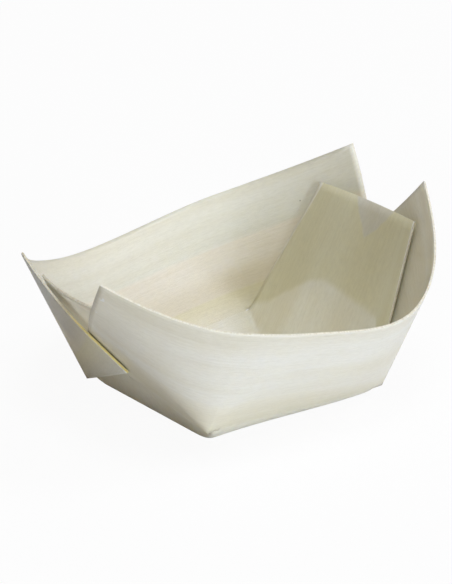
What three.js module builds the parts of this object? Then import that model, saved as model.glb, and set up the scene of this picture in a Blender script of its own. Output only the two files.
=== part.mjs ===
// Wooden food boat: one sheet of wood veneer, slit twice at each end and folded up.
// Units are millimetres, +Z is up, +X points to the steeper end and +Y to the back wall.
// The origin is the centre of the underside of the flat bottom.
import * as THREE from 'three';

// The sheet.
const VENEER = 0.6;
// Room that the glue takes between two layers of veneer.
const GLUE_LINE = 0.15;
const LAYER_STEP = VENEER + GLUE_LINE;
// The slits run inwards by this much from the fold to the end of the sheet.
const SLIT_TAPER = 8.8;
// The middle tabs' top edge reaches this far to each side.
const TAB_TOP_REACH = 20.0;
// The end fold starts this far before the crease and ends as far behind it.
const FOLD_REACH = 1.6;
// The middle tab leaves this much of the crease free beside each slit.
const FOLD_RELIEF = 1.4;

// The two ends. `crease` is the distance from the centre to the fold at bottom level,
// `lean` the outward lean of the wrapped side tabs and `tabLean` that of the middle tab,
// whose top edge bows outwards by `tabBow`.
const ENDS = {
  left: {
    sign: -1, crease: 28.0, lean: 35.0, slit: 42.7, tabLean: 31.2, tabTop: 43.8, tabBow: 3.3,
  },
  right: {
    sign: 1, crease: 28.0, lean: 31.2, slit: 46.0, tabLean: 27.2, tabTop: 45.9, tabBow: 1.2,
  },
};

// The two side walls, with their height along the sheet above the bend at the bottom.
const SIDES = {
  front: { sign: -1, height: 38.9 },
  back: { sign: 1, height: 35.9 },
};

// The four corners, as the hand-folded sheet stands. A slit ends `halfWidth` off the centre
// line and `rise` above the bottom. `lean` is the wall's outward lean there, and `spread` says
// how wide the wall curves round into the end. `standOff` is how far its side tab stands
// outside the end's inner side tab; the outer tabs gape a little. `edgeBow` is how far the
// side tab's end edge bows out below its tip; it runs in again towards its lower corner.
const CORNERS = {
  'front-left': {
    halfWidth: 26.9, rise: 7.0, lean: 30.0, spread: 69.8, standOff: 0, edgeBow: 0,
  },
  'back-left': {
    halfWidth: 29.1, rise: 2.1, lean: 48.5, spread: 85.0, standOff: LAYER_STEP + 0.3, edgeBow: 3.6,
  },
  'front-right': {
    halfWidth: 28.7, rise: 3.1, lean: 40.8, spread: 80.3, standOff: LAYER_STEP + 0.4, edgeBow: 0,
  },
  'back-right': {
    halfWidth: 28.5, rise: 7.2, lean: 44.6, spread: 82.3, standOff: 0, edgeBow: 0,
  },
};

// Steps of the mesh.
const WALL_COLUMNS = 14;
const WALL_ROWS = 6;
const WRAP_STEPS = 6;
const BEND_STEPS = 5;
const FLAT_STEPS = 4;
const FOLD_STEPS = 3;
const TAB_STEPS = 3;

const DEG = Math.PI / 180;
const BOTTOM = VENEER / 2;
const UP = new THREE.Vector3(0, 0, 1);

function mix(a, b, share) {
  return a + (b - a) * share;
}

function smooth(share) {
  return share * share * (3 - 2 * share);
}

// The sum of vectors, each times its own factor.
function combine(...terms) {
  const sum = new THREE.Vector3();
  for (const [vector, factor] of terms) {
    sum.addScaledVector(vector, factor);
  }
  return sum;
}

// A point of the curve that runs from `start` to `finish` and is drawn towards `knee`.
function bend(start, knee, finish, share) {
  const rest = 1 - share;
  return combine([start, rest * rest], [knee, 2 * share * rest], [finish, share * share]);
}

// Where the middle tab's plane lies at height `z`, as a distance from the centre.
function tabPlane(end, z) {
  const inset = LAYER_STEP / Math.cos(end.lean * DEG);
  return end.crease - inset + (z - BOTTOM) * Math.tan(end.tabLean * DEG);
}

// One corner of the boat. The side panel is a flat wall, then part of a cone about the end of
// the slit, then flat again against the end. `direction` takes the angle on the flat sheet,
// seen from the end of the slit: 0 is straight up the wall and 90 degrees along the slit.
function foldedCorner(end, side, corner) {
  const outwards = new THREE.Vector3(end.sign, 0, 0);
  const sideways = new THREE.Vector3(0, side.sign, 0);
  const [wallLean, endLean, spread] = [corner.lean * DEG, end.lean * DEG, corner.spread * DEG];
  const wallUp = combine([sideways, Math.sin(wallLean)], [UP, Math.cos(wallLean)]);
  const endUp = combine([outwards, Math.sin(endLean)], [UP, Math.cos(endLean)]);
  const wallInner = combine([sideways, -Math.cos(wallLean)], [UP, Math.sin(wallLean)]);
  const endInner = combine([outwards, -Math.cos(endLean)], [UP, Math.sin(endLean)]);
  const seam = new THREE.Vector3().crossVectors(wallInner, endInner).normalize();
  seam.multiplyScalar(Math.sign(seam.z));
  const halfway = wallInner.clone().add(endInner).normalize();
  const axis = combine([seam, Math.cos(spread)], [halfway, Math.sin(spread)]);

  // The cone touches the wall's plane and the end's plane along one line each.
  const opening = Math.asin(axis.dot(wallInner));
  const onWall = axis.clone().projectOnPlane(wallInner).normalize();
  const onEnd = axis.clone().projectOnPlane(endInner).normalize();
  const first = combine([onWall, 1], [axis, -Math.cos(opening)]).normalize();
  const last = combine([onEnd, 1], [axis, -Math.cos(opening)]).normalize();
  const second = combine([last, 1], [first, -last.dot(first)]).normalize();
  const turn = Math.atan2(last.dot(second), last.dot(first));
  const wrapStart = Math.atan2(onWall.dot(outwards), onWall.dot(wallUp));
  const wrapFinish = wrapStart + turn * Math.sin(opening);
  const endStart = Math.atan2(-onEnd.dot(sideways), onEnd.dot(endUp));

  const offset = corner.standOff / Math.cos(endLean);
  const reach = end.crease + corner.rise * Math.tan(endLean) + offset;
  const apex = new THREE.Vector3(end.sign * reach, side.sign * corner.halfWidth, corner.rise);

  function direction(angle) {
    if (angle <= wrapStart) {
      return combine([outwards, Math.sin(angle)], [wallUp, Math.cos(angle)]);
    }
    if (angle <= wrapFinish) {
      const round = (angle - wrapStart) / Math.sin(opening);
      const across = combine([first, Math.cos(round)], [second, Math.sin(round)]);
      return combine([axis, Math.cos(opening)], [across, Math.sin(opening)]);
    }
    const past = endStart + angle - wrapFinish;
    return combine([sideways, -Math.sin(past)], [endUp, Math.cos(past)]);
  }

  // The sheet's point `beyond` past the end of the slit and `above` it.
  function at(beyond, above) {
    const distance = Math.hypot(beyond, above);
    return combine([apex, 1], [direction(Math.atan2(beyond, above)), distance]);
  }

  return { apex, direction, at, edgeBow: corner.edgeBow };
}

// A point of a side wall between its two corners, `above` the bend at the bottom.
function wallPoint(left, right, x, above) {
  const share = smooth((x - left.apex.x) / (right.apex.x - left.apex.x));
  const fromLeft = left.at(left.apex.x - x, above);
  return fromLeft.lerp(right.at(x - right.apex.x, above), share);
}

// The middle surface of the sheet, as points and four-sided faces.
class Surface {
  constructor() {
    this.points = [];
    this.faces = [];
  }

  point(position) {
    return this.points.push(position) - 1;
  }

  // Fills the room between two neighbouring columns of points.
  strip(near, far) {
    for (let i = 0; i + 1 < near.length; i += 1) {
      this.faces.push([near[i], far[i], far[i + 1], near[i + 1]]);
    }
  }
}

// The wrapped tab at one end of a side panel: a fan of columns about the end of the slit.
// Its first column is the wall's own last one.
function sideTab(surface, corner, end, side, wallEdge) {
  const tip = Math.atan2(end.slit, side.height);
  const slitEdge = Math.PI / 2 + Math.atan2(SLIT_TAPER, end.slit);
  const columns = [wallEdge];
  for (let step = 1; step <= 2 * WRAP_STEPS; step += 1) {
    const beforeTip = step <= WRAP_STEPS;
    const share = beforeTip ? step / WRAP_STEPS : step / WRAP_STEPS - 1;
    const angle = beforeTip ? tip * share : mix(tip, slitEdge, share);
    const reach = end.slit + corner.edgeBow * Math.sin(1.2 * Math.PI * share ** 0.7);
    const length = beforeTip ? side.height / Math.cos(angle) : reach / Math.sin(angle);
    const column = [wallEdge[0]];
    for (let row = 1; row <= WALL_ROWS; row += 1) {
      const ray = [corner.direction(angle), length * row / WALL_ROWS];
      column.push(surface.point(combine([corner.apex, 1], ray)));
    }
    columns.push(column);
  }
  return columns;
}

// A whole side panel: the wall with a wrapped tab at each end. Returns the points on the
// bend at the bottom, which the bottom shares.
function sidePanel(surface, side, left, right, footXs) {
  const wallColumns = [left.apex.x, ...footXs, right.apex.x].map((x) => {
    const column = [];
    for (let row = 0; row <= WALL_ROWS; row += 1) {
      const position = wallPoint(left, right, x, side.height * row / WALL_ROWS);
      column.push(surface.point(position));
    }
    return column;
  });
  const leftTab = sideTab(surface, left, ENDS.left, side, wallColumns[0]);
  const rightTab = sideTab(surface, right, ENDS.right, side, wallColumns.at(-1));
  const columns = [...leftTab.reverse(), ...wallColumns.slice(1, -1), ...rightTab];
  for (let i = 0; i + 1 < columns.length; i += 1) {
    const [near, far] = [columns[i], columns[i + 1]];
    if (side.sign > 0) {
      surface.strip(near, far);
    } else {
      surface.strip([...near].reverse(), [...far].reverse());
    }
  }
  return wallColumns.slice(1, -1).map((column) => column[0]);
}

// Where the bottom's column `share` of the way along the boat lies at height `z`.
function footX(share, z) {
  const leftX = FOLD_REACH - tabPlane(ENDS.left, z);
  const rightX = tabPlane(ENDS.right, z) - FOLD_REACH;
  return mix(leftX, rightX, share);
}

// The same where the column meets a wall, whose foot changes its height along the boat.
function wallFootX(left, right, share) {
  let x = footX(share, BOTTOM);
  for (let round = 0; round < 8; round += 1) {
    x = footX(share, wallPoint(left, right, x, 0).z);
  }
  return x;
}

// One half of the boat's cross-section: from the foot of a wall, round the bend to the flat.
function footBend(left, right, x, inwards) {
  const foot = wallPoint(left, right, x, 0);
  const down = foot.clone().sub(wallPoint(left, right, x, 1));
  const length = (BOTTOM - foot.z) / down.z;
  const knee = combine([foot, 1], [down, length]);
  const reach = knee.distanceTo(foot);
  const flat = knee.clone().setY(knee.y + inwards * reach);
  const relief = FOLD_RELIEF / (2 * reach);
  const section = [foot, bend(foot, knee, flat, relief)];
  for (let step = 1; step <= BEND_STEPS; step += 1) {
    section.push(bend(foot, knee, flat, mix(relief, 1, step / BEND_STEPS)));
  }
  return section;
}

// The bottom between the two walls, column by column along the boat.
function bottom(surface, walls, feet) {
  const columns = [];
  for (let i = 0; i <= WALL_COLUMNS; i += 1) {
    const share = i / WALL_COLUMNS;
    const [front, back] = walls.map(({ left, right, footXs, side }) =>
      footBend(left, right, footXs[i], -side.sign));
    const section = front.slice(1);
    for (let step = 1; step < FLAT_STEPS; step += 1) {
      section.push(front.at(-1).clone().lerp(back.at(-1), step / FLAT_STEPS));
    }
    section.push(...back.slice(1).reverse());
    const inner = section.map((position) => {
      position.setX(footX(share, position.z));
      return surface.point(position);
    });
    columns.push([feet[0][i], ...inner, feet[1][i]]);
  }
  for (let i = 0; i < WALL_COLUMNS; i += 1) {
    surface.strip(columns[i], columns[i + 1]);
  }
  return columns;
}

// The middle tab at one end: round the end fold, then flat up to its straight top edge.
function middleTab(surface, end, bottomEdge) {
  const root = bottomEdge.slice(1, -1);
  const creases = root.map((index) => {
    const { y, z } = surface.points[index];
    return new THREE.Vector3(end.sign * tabPlane(end, z), y, z);
  });
  const [firstY, lastY] = [creases[0].y, creases.at(-1).y];
  const rows = [root];
  for (let step = 1; step <= FOLD_STEPS + TAB_STEPS; step += 1) {
    rows.push(creases.map((crease, i) => {
      const share = (crease.y - firstY) / (lastY - firstY);
      const topY = mix(-TAB_TOP_REACH, TAB_TOP_REACH, share);
      const top = new THREE.Vector3(end.sign * tabPlane(end, end.tabTop), topY, end.tabTop);
      const rise = top.clone().sub(crease).normalize();
      const foldEnd = combine([crease, 1], [rise, FOLD_REACH]);
      if (step <= FOLD_STEPS) {
        const start = surface.points[root[i]];
        return surface.point(bend(start, crease, foldEnd, step / FOLD_STEPS));
      }
      const height = (step - FOLD_STEPS) / TAB_STEPS;
      const bow = end.tabBow * height * (1 - (2 * share - 1) ** 2);
      const position = foldEnd.lerp(top, height);
      return surface.point(position.setX(position.x + end.sign * bow));
    }));
  }
  for (let i = 0; i + 1 < rows.length; i += 1) {
    const [near, far] = end.sign > 0 ? [rows[i], rows[i + 1]] : [rows[i + 1], rows[i]];
    surface.strip(near, far);
  }
}

// The middle surface of the whole folded sheet.
function foldedSheet() {
  const surface = new Surface();
  const walls = ['front', 'back'].map((name) => {
    const side = SIDES[name];
    const left = foldedCorner(ENDS.left, side, CORNERS[`${name}-left`]);
    const right = foldedCorner(ENDS.right, side, CORNERS[`${name}-right`]);
    const footXs = [];
    for (let i = 0; i <= WALL_COLUMNS; i += 1) {
      footXs.push(wallFootX(left, right, i / WALL_COLUMNS));
    }
    return { side, left, right, footXs };
  });
  const feet = walls.map(({ side, left, right, footXs }) =>
    sidePanel(surface, side, left, right, footXs));
  const columns = bottom(surface, walls, feet);
  middleTab(surface, ENDS.left, columns[0]);
  middleTab(surface, ENDS.right, columns.at(-1));
  return surface;
}

// Splits the four-sided faces into triangles and leaves out the empty ones.
function triangles(faces) {
  const split = faces.flatMap(([a, b, c, d]) => [[a, b, c], [a, c, d]]);
  return split.filter(([a, b, c]) => a !== b && b !== c && c !== a);
}

// Gives the surface its thickness, half to each side, and closes it along its edges.
function thicken(surface, thickness) {
  const inner = triangles(surface.faces);
  const middle = new THREE.BufferGeometry().setFromPoints(surface.points);
  middle.setIndex(inner.flat());
  middle.computeVertexNormals();
  const normals = middle.getAttribute('normal');
  const count = surface.points.length;
  const points = [];
  for (const shift of [thickness / 2, -thickness / 2]) {
    surface.points.forEach((point, i) => {
      const normal = new THREE.Vector3().fromBufferAttribute(normals, i);
      points.push(combine([point, 1], [normal, shift]));
    });
  }

  const index = [];
  const open = new Map();
  for (const [a, b, c] of inner) {
    index.push(a, b, c, c + count, b + count, a + count);
    for (const [from, to] of [[a, b], [b, c], [c, a]]) {
      if (!open.delete(`${to},${from}`)) {
        open.set(`${from},${to}`, [from, to]);
      }
    }
  }
  for (const [from, to] of open.values()) {
    index.push(to, from, from + count, to, from + count, to + count);
  }
  const geometry = new THREE.BufferGeometry().setFromPoints(points);
  geometry.setIndex(index);
  geometry.computeVertexNormals();
  return geometry;
}

const veneer = new THREE.MeshStandardMaterial({ color: 0xe6dfc8, roughness: 0.55, metalness: 0 });
const boat = new THREE.Mesh(thicken(foldedSheet(), VENEER), veneer);
boat.name = 'veneer_boat';

const part = new THREE.Group();
part.name = 'wooden_food_boat';
part.add(boat);

export default part;
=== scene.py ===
"""Wooden food boat: the folded sheet of veneer in a fine mesh, and its looks.

The sheet's sizes are in millimetres and become metres in the mesh.
"""

import math

import bpy
from mathutils import Matrix, Vector


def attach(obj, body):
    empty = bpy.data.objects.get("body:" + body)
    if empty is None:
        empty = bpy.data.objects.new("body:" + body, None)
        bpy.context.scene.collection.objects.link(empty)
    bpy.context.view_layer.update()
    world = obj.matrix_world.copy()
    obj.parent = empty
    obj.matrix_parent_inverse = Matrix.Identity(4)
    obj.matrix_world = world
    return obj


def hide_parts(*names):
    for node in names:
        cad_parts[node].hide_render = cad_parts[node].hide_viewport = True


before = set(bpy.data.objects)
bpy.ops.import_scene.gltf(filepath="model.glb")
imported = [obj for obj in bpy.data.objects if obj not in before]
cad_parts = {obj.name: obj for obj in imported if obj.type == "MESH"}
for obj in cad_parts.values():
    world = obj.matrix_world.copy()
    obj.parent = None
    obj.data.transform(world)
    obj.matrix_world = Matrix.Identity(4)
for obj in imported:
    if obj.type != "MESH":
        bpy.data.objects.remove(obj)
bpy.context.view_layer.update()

MM = 0.001

# Sizes of the sheet, as in the solid. Only the relief at the slits' ends is smaller here, so
# that the holes beside them all but close.
VENEER = 0.6
GLUE_LINE = 0.15
LAYER_STEP = VENEER + GLUE_LINE
SLIT_TAPER = 8.8
TAB_TOP_REACH = 20.0
FOLD_REACH = 1.6
FOLD_RELIEF = 0.4
BOTTOM = VENEER / 2
BACK_LEFT_GAP = 0.3
FRONT_RIGHT_GAP = 0.4

ENDS = {
    "left": dict(sign=-1, crease=28.0, lean=35.0, slit=42.7, tab_lean=31.2, tab_top=43.8,
                 tab_bow=3.3),
    "right": dict(sign=1, crease=28.0, lean=31.2, slit=46.0, tab_lean=27.2, tab_top=45.9,
                  tab_bow=1.2),
}
SIDES = {
    "front": dict(sign=-1, height=38.9),
    "back": dict(sign=1, height=35.9),
}
CORNERS = {
    "front-left": dict(half_width=26.9, rise=7.0, lean=30.0, spread=69.8, stand_off=0,
                       edge_bow=0),
    "back-left": dict(half_width=29.1, rise=2.1, lean=48.5, spread=85.0,
                      stand_off=LAYER_STEP + BACK_LEFT_GAP, edge_bow=3.6),
    "front-right": dict(half_width=28.7, rise=3.1, lean=40.8, spread=80.3,
                        stand_off=LAYER_STEP + FRONT_RIGHT_GAP, edge_bow=0),
    "back-right": dict(half_width=28.5, rise=7.2, lean=44.6, spread=82.3, stand_off=0,
                       edge_bow=0),
}

# How a bowed end edge swells, and how far it swings.
BOW_SWING = 1.2 * math.pi
BOW_RUSH = 0.7

# Layout of the sheet on the UV map, in millimetres per unit. The bottom is laid out a little
# wider than it is, and a middle tab narrows towards its top.
UV_UNIT = 100
LAID_HALF_BOTTOM = 32
LAID_TAB_TAPER = 0.25

# Steps of the fine mesh.
WALL_COLUMNS = 56
WALL_ROWS = 24
WRAP_STEPS = 26
BEND_STEPS = 12
FLAT_STEPS = 12
FOLD_STEPS = 6
TAB_STEPS = 16
FOOT_ROUNDS = 8

UP = Vector((0, 0, 1))


def mix(a, b, share):
    return a + (b - a) * share


def smooth(share):
    return share * share * (3 - 2 * share)


def bend(start, knee, finish, share):
    """A point of the curve from start to finish that is drawn towards knee."""
    rest = 1 - share
    return start * rest * rest + knee * 2 * share * rest + finish * share * share


def tab_plane(end, z):
    """Distance from the centre to the middle tab's plane at height z."""
    inset = LAYER_STEP / math.cos(math.radians(end["lean"]))
    return end["crease"] - inset + (z - BOTTOM) * math.tan(math.radians(end["tab_lean"]))


class Corner:
    """One corner: flat wall, then part of a cone about the slit's end, then flat again."""

    def __init__(self, end, side, corner):
        self.outwards = Vector((end["sign"], 0, 0))
        self.sideways = Vector((0, side["sign"], 0))
        wall_lean = math.radians(corner["lean"])
        end_lean = math.radians(end["lean"])
        spread = math.radians(corner["spread"])
        self.edge_bow = corner["edge_bow"]
        self.wall_up = self.sideways * math.sin(wall_lean) + UP * math.cos(wall_lean)
        self.end_up = self.outwards * math.sin(end_lean) + UP * math.cos(end_lean)
        wall_inner = self.sideways * -math.cos(wall_lean) + UP * math.sin(wall_lean)
        end_inner = self.outwards * -math.cos(end_lean) + UP * math.sin(end_lean)
        seam = wall_inner.cross(end_inner).normalized()
        seam *= math.copysign(1, seam.z)
        halfway = (wall_inner + end_inner).normalized()
        self.axis = seam * math.cos(spread) + halfway * math.sin(spread)
        self.opening = math.asin(self.axis.dot(wall_inner))
        on_wall = (self.axis - wall_inner * self.axis.dot(wall_inner)).normalized()
        on_end = (self.axis - end_inner * self.axis.dot(end_inner)).normalized()
        self.first = (on_wall - self.axis * math.cos(self.opening)).normalized()
        last = (on_end - self.axis * math.cos(self.opening)).normalized()
        self.second = (last - self.first * last.dot(self.first)).normalized()
        turn = math.atan2(last.dot(self.second), last.dot(self.first))
        self.wrap_start = math.atan2(on_wall.dot(self.outwards), on_wall.dot(self.wall_up))
        self.wrap_finish = self.wrap_start + turn * math.sin(self.opening)
        self.end_start = math.atan2(-on_end.dot(self.sideways), on_end.dot(self.end_up))
        offset = corner["stand_off"] / math.cos(end_lean)
        reach = end["crease"] + corner["rise"] * math.tan(end_lean) + offset
        self.apex = Vector((end["sign"] * reach, side["sign"] * corner["half_width"],
                            corner["rise"]))

    def direction(self, angle):
        """Direction in space of a line drawn on the sheet from the slit's end."""
        if angle <= self.wrap_start:
            return self.outwards * math.sin(angle) + self.wall_up * math.cos(angle)
        if angle <= self.wrap_finish:
            turned = (angle - self.wrap_start) / math.sin(self.opening)
            across = self.first * math.cos(turned) + self.second * math.sin(turned)
            return self.axis * math.cos(self.opening) + across * math.sin(self.opening)
        past = self.end_start + angle - self.wrap_finish
        return self.sideways * -math.sin(past) + self.end_up * math.cos(past)

    def at(self, beyond, above):
        """The point that lies this far beyond the slit's end and above it on the sheet."""
        distance = math.hypot(beyond, above)
        return self.apex + self.direction(math.atan2(beyond, above)) * distance


def wall_point(left, right, x, above):
    """A point of a side wall between its two corners, above the bend at the bottom."""
    share = smooth((x - left.apex.x) / (right.apex.x - left.apex.x))
    from_left = left.at(left.apex.x - x, above)
    return from_left.lerp(right.at(x - right.apex.x, above), share)


class Surface:
    """The sheet's middle surface; each point also keeps its place on the flat sheet."""

    def __init__(self):
        self.points = []
        self.flat = []
        self.faces = []

    def point(self, position, flat):
        self.points.append(position)
        self.flat.append(flat)
        return len(self.points) - 1

    def strip(self, near, far):
        """Faces between two lines of points; where the lines meet, a face has three corners."""
        for i in range(len(near) - 1):
            face = [near[i], far[i], far[i + 1], near[i + 1]]
            self.faces.append(list(dict.fromkeys(face)))


def sheet_v(side, above):
    """Place across the flat sheet of a line on a side panel."""
    return side["sign"] * (LAID_HALF_BOTTOM + above)


def side_tab(surface, corner, end, side, wall_edge):
    """The wrapped tab at one end of a side panel, as a fan about the end of the slit."""
    tip = math.atan2(end["slit"], side["height"])
    slit_edge = math.pi / 2 + math.atan2(SLIT_TAPER, end["slit"])
    columns = [wall_edge]
    for step in range(1, 2 * WRAP_STEPS + 1):
        if step <= WRAP_STEPS:
            angle = tip * step / WRAP_STEPS
            length = side["height"] / math.cos(angle)
        else:
            share = step / WRAP_STEPS - 1
            angle = mix(tip, slit_edge, share)
            bow = corner.edge_bow * math.sin(BOW_SWING * share ** BOW_RUSH)
            length = (end["slit"] + bow) / math.sin(angle)
        column = [wall_edge[0]]
        for row in range(1, WALL_ROWS + 1):
            distance = length * row / WALL_ROWS
            flat = (corner.apex.x + end["sign"] * distance * math.sin(angle),
                    sheet_v(side, distance * math.cos(angle)))
            position = corner.apex + corner.direction(angle) * distance
            column.append(surface.point(position, flat))
        columns.append(column)
    return columns


def side_panel(surface, side, left, right, foot_xs):
    """A side wall with a wrapped tab at each end; returns the points it shares below."""
    wall_columns = []
    for x in [left.apex.x, *foot_xs, right.apex.x]:
        column = []
        for row in range(WALL_ROWS + 1):
            above = side["height"] * row / WALL_ROWS
            flat = (x, sheet_v(side, above))
            column.append(surface.point(wall_point(left, right, x, above), flat))
        wall_columns.append(column)
    left_tab = side_tab(surface, left, ENDS["left"], side, wall_columns[0])
    right_tab = side_tab(surface, right, ENDS["right"], side, wall_columns[-1])
    columns = left_tab[::-1] + wall_columns[1:-1] + right_tab
    for near, far in zip(columns, columns[1:]):
        if side["sign"] > 0:
            surface.strip(near, far)
        else:
            surface.strip(near[::-1], far[::-1])
    return [column[0] for column in wall_columns[1:-1]]


def foot_x(share, z):
    """Where the bottom's column lies at height z, share of the way along the boat."""
    left_x = FOLD_REACH - tab_plane(ENDS["left"], z)
    right_x = tab_plane(ENDS["right"], z) - FOLD_REACH
    return mix(left_x, right_x, share)


def wall_foot_x(left, right, share):
    """The same place at the wall's foot, whose height depends on it."""
    x = foot_x(share, BOTTOM)
    for _ in range(FOOT_ROUNDS):
        x = foot_x(share, wall_point(left, right, x, 0).z)
    return x


def foot_bend(left, right, x, inwards):
    """Half of the cross-section: from the foot of a wall, round the bend to the flat."""
    foot = wall_point(left, right, x, 0)
    down = foot - wall_point(left, right, x, 1)
    knee = foot + down * ((BOTTOM - foot.z) / down.z)
    reach = (knee - foot).length
    flat = knee + Vector((0, inwards * reach, 0))
    relief = FOLD_RELIEF / (2 * reach)
    section = [foot, bend(foot, knee, flat, relief)]
    for step in range(1, BEND_STEPS + 1):
        section.append(bend(foot, knee, flat, mix(relief, 1, step / BEND_STEPS)))
    return section


def bottom(surface, walls, feet):
    """The bottom between the two walls, column by column along the boat."""
    columns = []
    for i in range(WALL_COLUMNS + 1):
        share = i / WALL_COLUMNS
        front, back = [foot_bend(w["left"], w["right"], w["foot_xs"][i], -w["side"]["sign"])
                       for w in walls]
        section = front[1:]
        for step in range(1, FLAT_STEPS):
            section.append(front[-1].lerp(back[-1], step / FLAT_STEPS))
        section += back[1:][::-1]
        inner = []
        for k, position in enumerate(section):
            across = mix(-LAID_HALF_BOTTOM, LAID_HALF_BOTTOM, (k + 1) / (len(section) + 1))
            position = Vector((foot_x(share, position.z), position.y, position.z))
            inner.append(surface.point(position, (position.x, across)))
        columns.append([feet[0][i], *inner, feet[1][i]])
    for near, far in zip(columns, columns[1:]):
        surface.strip(near, far)
    return columns


def middle_tab(surface, end, bottom_edge):
    """The middle tab: round the end fold, then flat up to its straight top edge."""
    root = bottom_edge[1:-1]
    creases = []
    for index in root:
        spot = surface.points[index]
        creases.append(Vector((end["sign"] * tab_plane(end, spot.z), spot.y, spot.z)))
    first_y, last_y = creases[0].y, creases[-1].y
    rows = [root]
    for step in range(1, FOLD_STEPS + TAB_STEPS + 1):
        row = []
        for index, crease in zip(root, creases):
            start = surface.points[index]
            start_along, start_across = surface.flat[index]
            share = (crease.y - first_y) / (last_y - first_y)
            top_y = mix(-TAB_TOP_REACH, TAB_TOP_REACH, share)
            top = Vector((end["sign"] * tab_plane(end, end["tab_top"]), top_y, end["tab_top"]))
            fold_end = crease + (top - crease).normalized() * FOLD_REACH
            if step <= FOLD_STEPS:
                position = bend(start, crease, fold_end, step / FOLD_STEPS)
            else:
                height = (step - FOLD_STEPS) / TAB_STEPS
                bow = end["tab_bow"] * height * (1 - (2 * share - 1) ** 2)
                position = fold_end.lerp(top, height) + Vector((end["sign"] * bow, 0, 0))
            across = start_across * (1 - LAID_TAB_TAPER * position.z / end["tab_top"])
            along = start_along + end["sign"] * (position - start).length
            row.append(surface.point(position, (along, across)))
        rows.append(row)
    for near, far in zip(rows, rows[1:]):
        if end["sign"] > 0:
            surface.strip(near, far)
        else:
            surface.strip(far, near)


def folded_sheet():
    """The middle surface of the whole folded sheet."""
    surface = Surface()
    walls = []
    for name, side in SIDES.items():
        left = Corner(ENDS["left"], side, CORNERS[name + "-left"])
        right = Corner(ENDS["right"], side, CORNERS[name + "-right"])
        foot_xs = [wall_foot_x(left, right, i / WALL_COLUMNS) for i in range(WALL_COLUMNS + 1)]
        walls.append(dict(side=side, left=left, right=right, foot_xs=foot_xs))
    feet = [side_panel(surface, w["side"], w["left"], w["right"], w["foot_xs"]) for w in walls]
    columns = bottom(surface, walls, feet)
    middle_tab(surface, ENDS["left"], columns[0])
    middle_tab(surface, ENDS["right"], columns[-1])
    return surface


def veneer_mesh(surface, name):
    """Gives the surface its thickness and keeps the flat sheet's places as a UV map."""
    middle = bpy.data.meshes.new(name + "_middle")
    middle.from_pydata(surface.points, [], surface.faces)
    middle.update()
    normals = [vertex.normal.copy() for vertex in middle.vertices]
    bpy.data.meshes.remove(middle)
    count = len(surface.points)
    points = []
    for half in (VENEER / 2, -VENEER / 2):
        points += [(p + n * half) * MM for p, n in zip(surface.points, normals)]
    faces = [list(face) for face in surface.faces]
    faces += [[i + count for i in reversed(face)] for face in surface.faces]
    sheet_faces = len(faces)
    free_edges = {}
    for face in surface.faces:
        for a, b in zip(face, face[1:] + face[:1]):
            if free_edges.pop((b, a), None) is None:
                free_edges[(a, b)] = True
    faces += [[b, a, a + count, b + count] for a, b in free_edges]
    mesh = bpy.data.meshes.new(name)
    mesh.from_pydata(points, [], faces)
    mesh.update()
    uv = mesh.uv_layers.new(name="sheet")
    for polygon in mesh.polygons:
        on_sheet = polygon.index < sheet_faces
        polygon.use_smooth = on_sheet
        polygon.material_index = 0 if on_sheet else 1
        for loop in polygon.loop_indices:
            along, across = surface.flat[mesh.loops[loop].vertex_index % count]
            uv.data[loop].uv = (along / UV_UNIT, across / UV_UNIT)
    return mesh


class Nodes:
    """Short helper that adds and links shader nodes."""

    def __init__(self, owner):
        owner.use_nodes = True
        self.tree = owner.node_tree
        self.tree.nodes.clear()

    def add(self, kind, inputs=None, **settings):
        node = self.tree.nodes.new(kind)
        for key, value in settings.items():
            setattr(node, key, value)
        for key, value in (inputs or {}).items():
            if isinstance(value, bpy.types.NodeSocket):
                self.tree.links.new(value, node.inputs[key])
            else:
                node.inputs[key].default_value = value
        return node

    def math(self, operation, a, b=0.0, c=0.0):
        return self.add("ShaderNodeMath", {0: a, 1: b, 2: c}, operation=operation).outputs[0]

    def step(self, value, none, full):
        """0 at `none`, 1 at `full`, whichever is the larger, and a soft change between."""
        node = self.add("ShaderNodeMapRange", {
            "Value": value, "From Min": none, "From Max": full}, interpolation_type="SMOOTHSTEP")
        return node.outputs[0]

    def edge(self, value, softness):
        """0 where the value is below zero and 1 above, with a soft edge."""
        return self.step(value, -softness, softness)

    def dot(self, place, centre, radius):
        """A small round spot on the sheet."""
        far = self.add("ShaderNodeVectorMath", {0: place, 1: (*centre, 0)}, operation="DISTANCE")
        outside = self.step(far.outputs["Value"], radius * DOT_CORE, radius)
        return self.math("SUBTRACT", 1, outside)

    def ramp(self, factor, stops):
        node = self.add("ShaderNodeValToRGB", {"Fac": factor})
        elements = node.color_ramp.elements
        while len(elements) < len(stops):
            elements.new(0.5)
        for element, (position, color) in zip(elements, stops):
            element.position = position
            element.color = (*color, 1)
        return node.outputs["Color"]

    def blend(self, factor, a, b, mode="MIX"):
        node = self.add("ShaderNodeMix", {0: factor, 6: a, 7: b}, data_type="RGBA",
                        blend_type=mode)
        return node.outputs[2]

    def tint(self, factor, color, tone):
        return self.blend(factor, color, (*tone, 1), "MULTIPLY")

    def grain(self, source, along, across, detail, rough, shift):
        """Noise drawn out along the grain, with its scales per unit of the UV map."""
        mapping = self.add("ShaderNodeMapping", {
            "Vector": source, "Scale": (along, across, 1),
            "Location": (shift, shift * SHIFT_ACROSS, shift)})
        noise = self.add("ShaderNodeTexNoise", {
            "Vector": mapping.outputs[0], "Scale": 1.0, "Detail": detail, "Roughness": rough})
        return noise.outputs["Fac"]


def srgb(red, green, blue):
    def linear(value):
        value /= 255
        return value / 12.92 if value <= 0.04045 else ((value + 0.055) / 1.055) ** 2.4
    return linear(red), linear(green), linear(blue)


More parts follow.
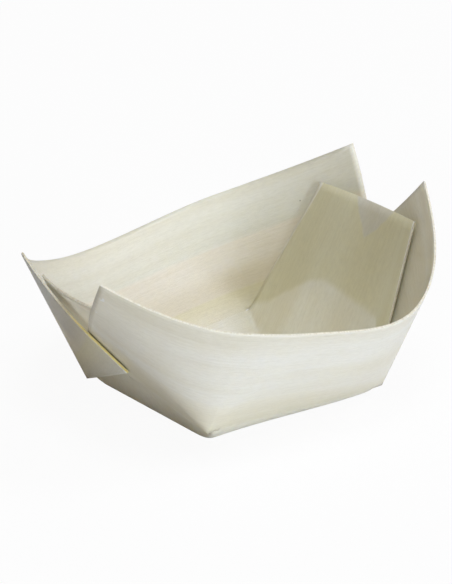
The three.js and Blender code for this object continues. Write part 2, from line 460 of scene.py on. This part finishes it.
DOT_CORE = 0.6
SHIFT_ACROSS = 1.7
BUMP_STRENGTH = 0.3
BUMP_DISTANCE = 0.0003
FIBRE_RELIEF = 0.7
SILK_RELIEF = 0.5
SMOOTHEST = 0.30
ROUGHNESS_SWING = 0.2

# The noises of the grain, with their scales along and across it per unit of the UV map.
GRAINS = {
    "broad": dict(along=0.45, across=5.5, detail=2, rough=0.5, shift=3.1),
    "bands": dict(along=0.9, across=26, detail=3, rough=0.55, shift=4.3),
    "streak": dict(along=5, across=150, detail=4, rough=0.6, shift=7.7),
    "fibre": dict(along=34, across=620, detail=3, rough=0.7, shift=1.3),
    "silk": dict(along=45, across=150, detail=3, rough=0.65, shift=2.9),
    "cloud": dict(along=6, across=8, detail=3, rough=0.5, shift=5.9),
    "cut": dict(along=160, across=160, detail=4, rough=0.7, shift=2.2),
}

# Tones of the veneer, and the tints that darken them; a ramp's places run from 0 to 1.
PLAIN = (1, 1, 1)
PALE_WOOD = [
    (0.32, srgb(237, 233, 215)), (0.47, srgb(243, 240, 226)),
    (0.53, srgb(245, 243, 232)), (0.68, srgb(239, 235, 218))]
GROWTH_BANDS = [
    (0.22, (0.94, 0.94, 0.94)), (0.26, (0.95, 0.94, 0.915)), (0.31, (0.99, 0.985, 0.95)),
    (0.34, PLAIN), (0.66, PLAIN), (0.70, (0.97, 0.95, 0.89)),
    (0.738, (0.94, 0.915, 0.77)), (0.744, (0.965, 0.93, 0.885)),
    (0.829, (0.968, 0.932, 0.89)), (0.834, (0.905, 0.915, 0.895)), (0.90, (0.92, 0.92, 0.90))]
BANDS_PER_UNIT = 0.625
BANDS_AT_MIDDLE = 0.4956
BAND_WAVE = 0.014
WOOD_LAYERS = [
    dict(grain="bands", strength=0.45,
         tones=[(0.34, (0.95, 0.94, 0.91)), (0.52, PLAIN), (0.7, (0.98, 0.97, 0.94))]),
    dict(grain="streak", strength=0.45,
         tones=[(0.30, (0.92, 0.91, 0.87)), (0.5, (0.99, 0.99, 0.98)), (0.72, PLAIN)]),
    dict(grain="silk", strength=0.8, tones=[(0.36, (0.945, 0.945, 0.94)), (0.62, PLAIN)]),
    dict(grain="fibre", strength=0.42,
         tones=[(0.30, (0.86, 0.84, 0.79)), (0.46, PLAIN), (0.8, PLAIN)]),
    dict(grain="cloud", strength=0.5, tones=[(0.35, (0.97, 0.96, 0.93)), (0.65, PLAIN)]),
]
CUT_TONES = [(0.3, srgb(210, 202, 178)), (0.6, srgb(230, 225, 208))]
LIT_CUT = srgb(228, 212, 140)
SPECK_TONE = srgb(120, 108, 88)
PALE_SPOT_TONE = srgb(240, 243, 244)
# Painted shade on the right middle tab for light through the layers: grey in the lone V at its
# top, darker and yellower where side tabs back it.
LONE_V_PAINTED_SHADE = (0.81, 0.81, 0.80)
BACKED_PAINTED_SHADE = (0.86, 0.845, 0.70)
TIP_TINT = (0.68, 0.685, 0.71)
THROUGH_LIGHT = (1.0, 0.97, 0.86, 1)

# Places on the UV map. The edges of the slits are lines: a slope along the grain and a start.
CUT_SOFTNESS = 0.003
RIGHT_SLIT = (-0.19, 0.352)
LEFT_SLIT = (0.19, 0.345)
RIGHT_TAB = (0.285, 0.31)
LEFT_TAB = (-0.42, -0.55)
LEFT_TAB_DEPTH = (-0.78, -0.66)
LOW_GLOW = 0.13
TOP_GLOW = 0.04
TIP_ALONG = (-0.48, -0.60)
TIP_ACROSS = (0.34, 0.46)
LIT_CUT_STARTS = (-0.68, -0.70)
LIT_CUT_ENDS = (-0.775, -0.755)
LIT_CUT_LOW = (0.10, 0.12)
LIT_CUT_HIGH = (0.54, 0.46)
SPECK = dict(centre=(0.569, 0.574), radius=0.003)
SPECK_STRENGTH = 0.5
# Two small pale spots near the front-left tab's tip, broken up by the silk noise.
PALE_SPOTS = [
    dict(centre=(-0.736, -0.652), radius=0.010),
    dict(centre=(-0.741, -0.575), radius=0.007),
]
PALE_SPOT_BREAKS = (0.42, 0.52)

# The V at the top of the right middle tab and the upturned V below it: single layers, whose
# painted shade differs from that of the backed tab.
V_SLOPE = 0.48
V_POINT = -0.324
V_SOFTNESS = 0.004
LEGS_SLOPE = -1.15
LEGS_POINT = 0.65
LOW_TOP_SLOPE = 0.25
LOW_TOP = 0.5025
LOW_SOFTNESS = 0.015
LOW_STRENGTH = 0.75
V_WAVE = 0.05
V_OFFSET = 0.025


def line(n, along, slope, start):
    return n.math("MULTIPLY_ADD", along, slope, start)


def lone_layers(n, along, across):
    """The two places on the right middle tab that no side tab backs: a V and an upturned V."""
    off_middle = n.math("ABSOLUTE", across)
    upper = n.edge(n.math("SUBTRACT", line(n, along, V_SLOPE, V_POINT), off_middle), V_SOFTNESS)
    legs = n.math("SUBTRACT", line(n, along, LEGS_SLOPE, LEGS_POINT), off_middle)
    top = n.math("SUBTRACT", line(n, across, LOW_TOP_SLOPE, LOW_TOP), along)
    lower = n.math("MULTIPLY", n.edge(legs, LOW_SOFTNESS), n.edge(top, LOW_SOFTNESS))
    return upper, lower


def between_slits(n, along, off_middle, slit):
    """1 on the middle tab, between the two slits of one end."""
    return n.edge(n.math("SUBTRACT", line(n, along, *slit), off_middle), CUT_SOFTNESS)


def wood_color(n, grains, across):
    """Pale wood with its growth bands, streaks and fibres."""
    row = n.math("MULTIPLY_ADD", grains["streak"], BAND_WAVE, across)
    growth = n.ramp(line(n, row, BANDS_PER_UNIT, BANDS_AT_MIDDLE), GROWTH_BANDS)
    color = n.blend(1.0, n.ramp(grains["broad"], PALE_WOOD), growth, "MULTIPLY")
    for layer in WOOD_LAYERS:
        tones = n.ramp(grains[layer["grain"]], layer["tones"])
        color = n.blend(layer["strength"], color, tones, "MULTIPLY")
    return color


def tab_painted_shade(n, color, along, across, off_middle, cloud):
    """Painted shade for light through the layers: darker and yellower where a side tab backs the
    right middle tab, greyer in the V at its top.
    """
    between = between_slits(n, along, off_middle, RIGHT_SLIT)
    on_tab = n.math("MULTIPLY", between, n.step(along, *RIGHT_TAB))
    wavy = n.math("MULTIPLY_ADD", cloud, V_WAVE, n.math("SUBTRACT", across, V_OFFSET))
    upper, lower = lone_layers(n, along, wavy)
    color = n.tint(n.math("MULTIPLY", on_tab, upper), color, LONE_V_PAINTED_SHADE)
    lone = n.math("MAXIMUM", upper, n.math("MULTIPLY", lower, LOW_STRENGTH))
    backed = n.math("SUBTRACT", 1, lone)
    return n.tint(n.math("MULTIPLY", on_tab, backed), color, BACKED_PAINTED_SHADE)


def marked_color(n, color, place, along, across, silk):
    """The greyer tip of the back-left tab, the dark speck and two small pale spots."""
    tip = n.math("MULTIPLY", n.step(along, *TIP_ALONG), n.step(across, *TIP_ACROSS))
    color = n.tint(tip, color, TIP_TINT)
    speck = n.math("MULTIPLY", n.dot(place, **SPECK), SPECK_STRENGTH)
    color = n.blend(speck, color, (*SPECK_TONE, 1))
    for spot in PALE_SPOTS:
        pale_spot = n.math("MULTIPLY", n.dot(place, **spot), n.step(silk, *PALE_SPOT_BREAKS))
        color = n.blend(pale_spot, color, (*PALE_SPOT_TONE, 1))
    return color


def light_through(n, along, off_middle):
    """Stands in for the light that passes through the left middle tab's single layer."""
    between = between_slits(n, along, off_middle, LEFT_SLIT)
    on_tab = n.math("MULTIPLY", between, n.step(along, *LEFT_TAB))
    glow = n.math("MULTIPLY_ADD", n.step(along, *LEFT_TAB_DEPTH), LOW_GLOW, TOP_GLOW)
    return n.math("MULTIPLY", on_tab, glow)


def bumps(n, height):
    bump = n.add("ShaderNodeBump", {
        "Height": height, "Strength": BUMP_STRENGTH, "Distance": BUMP_DISTANCE})
    return bump.outputs[0]


def veneer_material():
    """Pale satin veneer: growth bands, fibres, and painted shade that is warmer where layers lie
    together.
    """
    material = bpy.data.materials.new("pale_veneer")
    n = Nodes(material)
    place = n.add("ShaderNodeUVMap", uv_map="sheet").outputs[0]
    along, across = n.add("ShaderNodeSeparateXYZ", {0: place}).outputs[:2]
    off_middle = n.math("ABSOLUTE", across)
    names = ["broad", *(layer["grain"] for layer in WOOD_LAYERS)]
    grains = {name: n.grain(place, **GRAINS[name]) for name in names}
    color = wood_color(n, grains, across)
    color = tab_painted_shade(n, color, along, across, off_middle, grains["cloud"])
    color = marked_color(n, color, place, along, across, grains["silk"])
    relief = n.math("MULTIPLY_ADD", grains["silk"], SILK_RELIEF, grains["streak"])
    relief = n.math("MULTIPLY_ADD", grains["fibre"], FIBRE_RELIEF, relief)
    roughness = n.math("MULTIPLY_ADD", grains["streak"], ROUGHNESS_SWING, SMOOTHEST)
    tangent = n.add("ShaderNodeTangent", direction_type="UV_MAP", uv_map="sheet")
    shader = n.add("ShaderNodeBsdfPrincipled", {
        "Base Color": color, "Roughness": roughness, "Normal": bumps(n, relief),
        "Tangent": tangent.outputs[0],
        "Anisotropic": 0.45, "Specular IOR Level": 0.5,
        "Emission Color": THROUGH_LIGHT, "Emission Strength": light_through(n, along, off_middle),
        "Subsurface Weight": 0.35, "Subsurface Scale": 0.0010,
        "Subsurface Radius": (1.0, 0.9, 0.65)})
    n.add("ShaderNodeOutputMaterial", {"Surface": shader.outputs[0]})
    return material


def edge_material():
    """The cut edge: rough, and yellow where light shines into the back-left tab's end."""
    material = bpy.data.materials.new("cut_veneer_edge")
    n = Nodes(material)
    place = n.add("ShaderNodeUVMap", uv_map="sheet").outputs[0]
    along, across = n.add("ShaderNodeSeparateXYZ", {0: place}).outputs[:2]
    cut = n.grain(place, **GRAINS["cut"])
    lit = n.math("MULTIPLY", n.step(along, *LIT_CUT_STARTS), n.step(along, *LIT_CUT_ENDS))
    lit = n.math("MULTIPLY", lit, n.step(across, *LIT_CUT_LOW))
    lit = n.math("MULTIPLY", lit, n.step(across, *LIT_CUT_HIGH))
    color = n.blend(lit, n.ramp(cut, CUT_TONES), (*LIT_CUT, 1))
    shader = n.add("ShaderNodeBsdfPrincipled", {
        "Base Color": color, "Roughness": 0.75, "Normal": bumps(n, cut),
        "Subsurface Weight": 0.4, "Subsurface Scale": 0.001,
        "Subsurface Radius": (1.0, 0.85, 0.6)})
    n.add("ShaderNodeOutputMaterial", {"Surface": shader.outputs[0]})
    return material


def add_object(name, data):
    thing = bpy.data.objects.new(name, data)
    bpy.context.scene.collection.objects.link(thing)
    return thing


def add_boat():
    mesh = veneer_mesh(folded_sheet(), "folded_veneer")
    mesh.materials.append(veneer_material())
    mesh.materials.append(edge_material())
    boat = add_object("folded_veneer", mesh)
    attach(boat, "root")
    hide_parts("veneer_boat")


WHITE = (1, 1, 1, 1)
FLOOR_REACH = 3.0
FLOOR_GREY = (0.82, 0.82, 0.81, 1)
FLOOR_WHITENESS = 0.94
SOFT_LIGHT = (1, 0.84, 0.74, 1)
SOFT_STRENGTH = 0.185


def add_floor():
    """A pale floor that looks almost white and takes the boat's soft shadow."""
    mesh = bpy.data.meshes.new("floor")
    corners = [(-1, -1), (1, -1), (1, 1), (-1, 1)]
    mesh.from_pydata([(x * FLOOR_REACH, y * FLOOR_REACH, 0) for x, y in corners], [],
                     [(0, 1, 2, 3)])
    material = bpy.data.materials.new("pale_floor")
    n = Nodes(material)
    seen = n.add("ShaderNodeLightPath").outputs["Is Camera Ray"]
    diffuse = n.add("ShaderNodeBsdfDiffuse", {"Color": FLOOR_GREY})
    white = n.add("ShaderNodeEmission", {"Color": WHITE, "Strength": 1.0})
    both = n.add("ShaderNodeMixShader", {
        0: n.math("MULTIPLY", seen, FLOOR_WHITENESS), 1: diffuse.outputs[0], 2: white.outputs[0]})
    n.add("ShaderNodeOutputMaterial", {"Surface": both.outputs[0]})
    mesh.materials.append(material)
    add_object("floor", mesh)


def add_world():
    """Soft light from all around, with plain white behind the boat."""
    world = bpy.data.worlds.new("studio")
    bpy.context.scene.world = world
    n = Nodes(world)
    seen = n.add("ShaderNodeLightPath").outputs["Is Camera Ray"]
    soft = n.add("ShaderNodeBackground", {"Color": SOFT_LIGHT, "Strength": SOFT_STRENGTH})
    white = n.add("ShaderNodeBackground", {"Color": WHITE, "Strength": 1.0})
    both = n.add("ShaderNodeMixShader", {0: seen, 1: soft.outputs[0], 2: white.outputs[0]})
    n.add("ShaderNodeOutputWorld", {"Surface": both.outputs[0]})


LAMP_AIM = Vector((0, 0, 0.03))
LAMPS = {
    "key": dict(place=(-0.08, -2.18, 0.31), size=0.55, power=28, color=(0.79, 0.865, 1.0)),
    "top": dict(place=(-0.28, -0.49, 2.13), size=0.7, power=20, color=(0.91, 0.98, 1.0)),
    "glint": dict(place=(1.19, -0.77, 1.69), size=0.6, power=15, color=(0.865, 0.86, 1.0)),
}


def add_lamp(name, place, size, power, color):
    """A soft square lamp that looks at the middle of the boat."""
    light = bpy.data.lights.new(name, "AREA")
    light.size = size
    light.energy = power
    light.color = color
    lamp = add_object(name, light)
    lamp.location = place
    aim = LAMP_AIM - Vector(place)
    lamp.rotation_euler = aim.to_track_quat("-Z", "Y").to_euler()


# The photograph's viewpoint, with angles in radians and places in metres.
PHOTO_LONG_SIDE = 584
VIEW_AZIMUTH = -0.7161
VIEW_ELEVATION = 0.4150
VIEW_ROLL = 0.0181
VIEW_DISTANCE = 0.80495
VIEW_CENTRE = (-0.00225, 0.02823)
FOCAL_PIXELS = 2787.1
SENSOR_WIDTH = 36
VIEW_LIMIT = 100


def add_camera():
    across = Vector((math.cos(VIEW_AZIMUTH), math.sin(VIEW_AZIMUTH), 0))
    level = Vector((-math.sin(VIEW_AZIMUTH), math.cos(VIEW_AZIMUTH), 0))
    forward = level * math.cos(VIEW_ELEVATION) - UP * math.sin(VIEW_ELEVATION)
    above = across.cross(forward)
    right = across * math.cos(VIEW_ROLL) + above * math.sin(VIEW_ROLL)
    up = right.cross(forward)
    place = right * VIEW_CENTRE[0] + up * VIEW_CENTRE[1] - forward * VIEW_DISTANCE
    camera = bpy.data.cameras.new("camera")
    camera.sensor_width = SENSOR_WIDTH
    camera.lens = FOCAL_PIXELS / PHOTO_LONG_SIDE * SENSOR_WIDTH
    camera.clip_end = VIEW_LIMIT
    holder = add_object("camera", camera)
    turn = Matrix((right, up, -forward)).transposed()
    holder.matrix_world = Matrix.Translation(place) @ turn.to_4x4()
    bpy.context.scene.camera = holder


add_camera()
add_boat()
add_floor()
add_world()
for lamp_name, lamp_settings in LAMPS.items():
    add_lamp(lamp_name, **lamp_settings)
bpy.context.scene.view_settings.view_transform = "Standard"
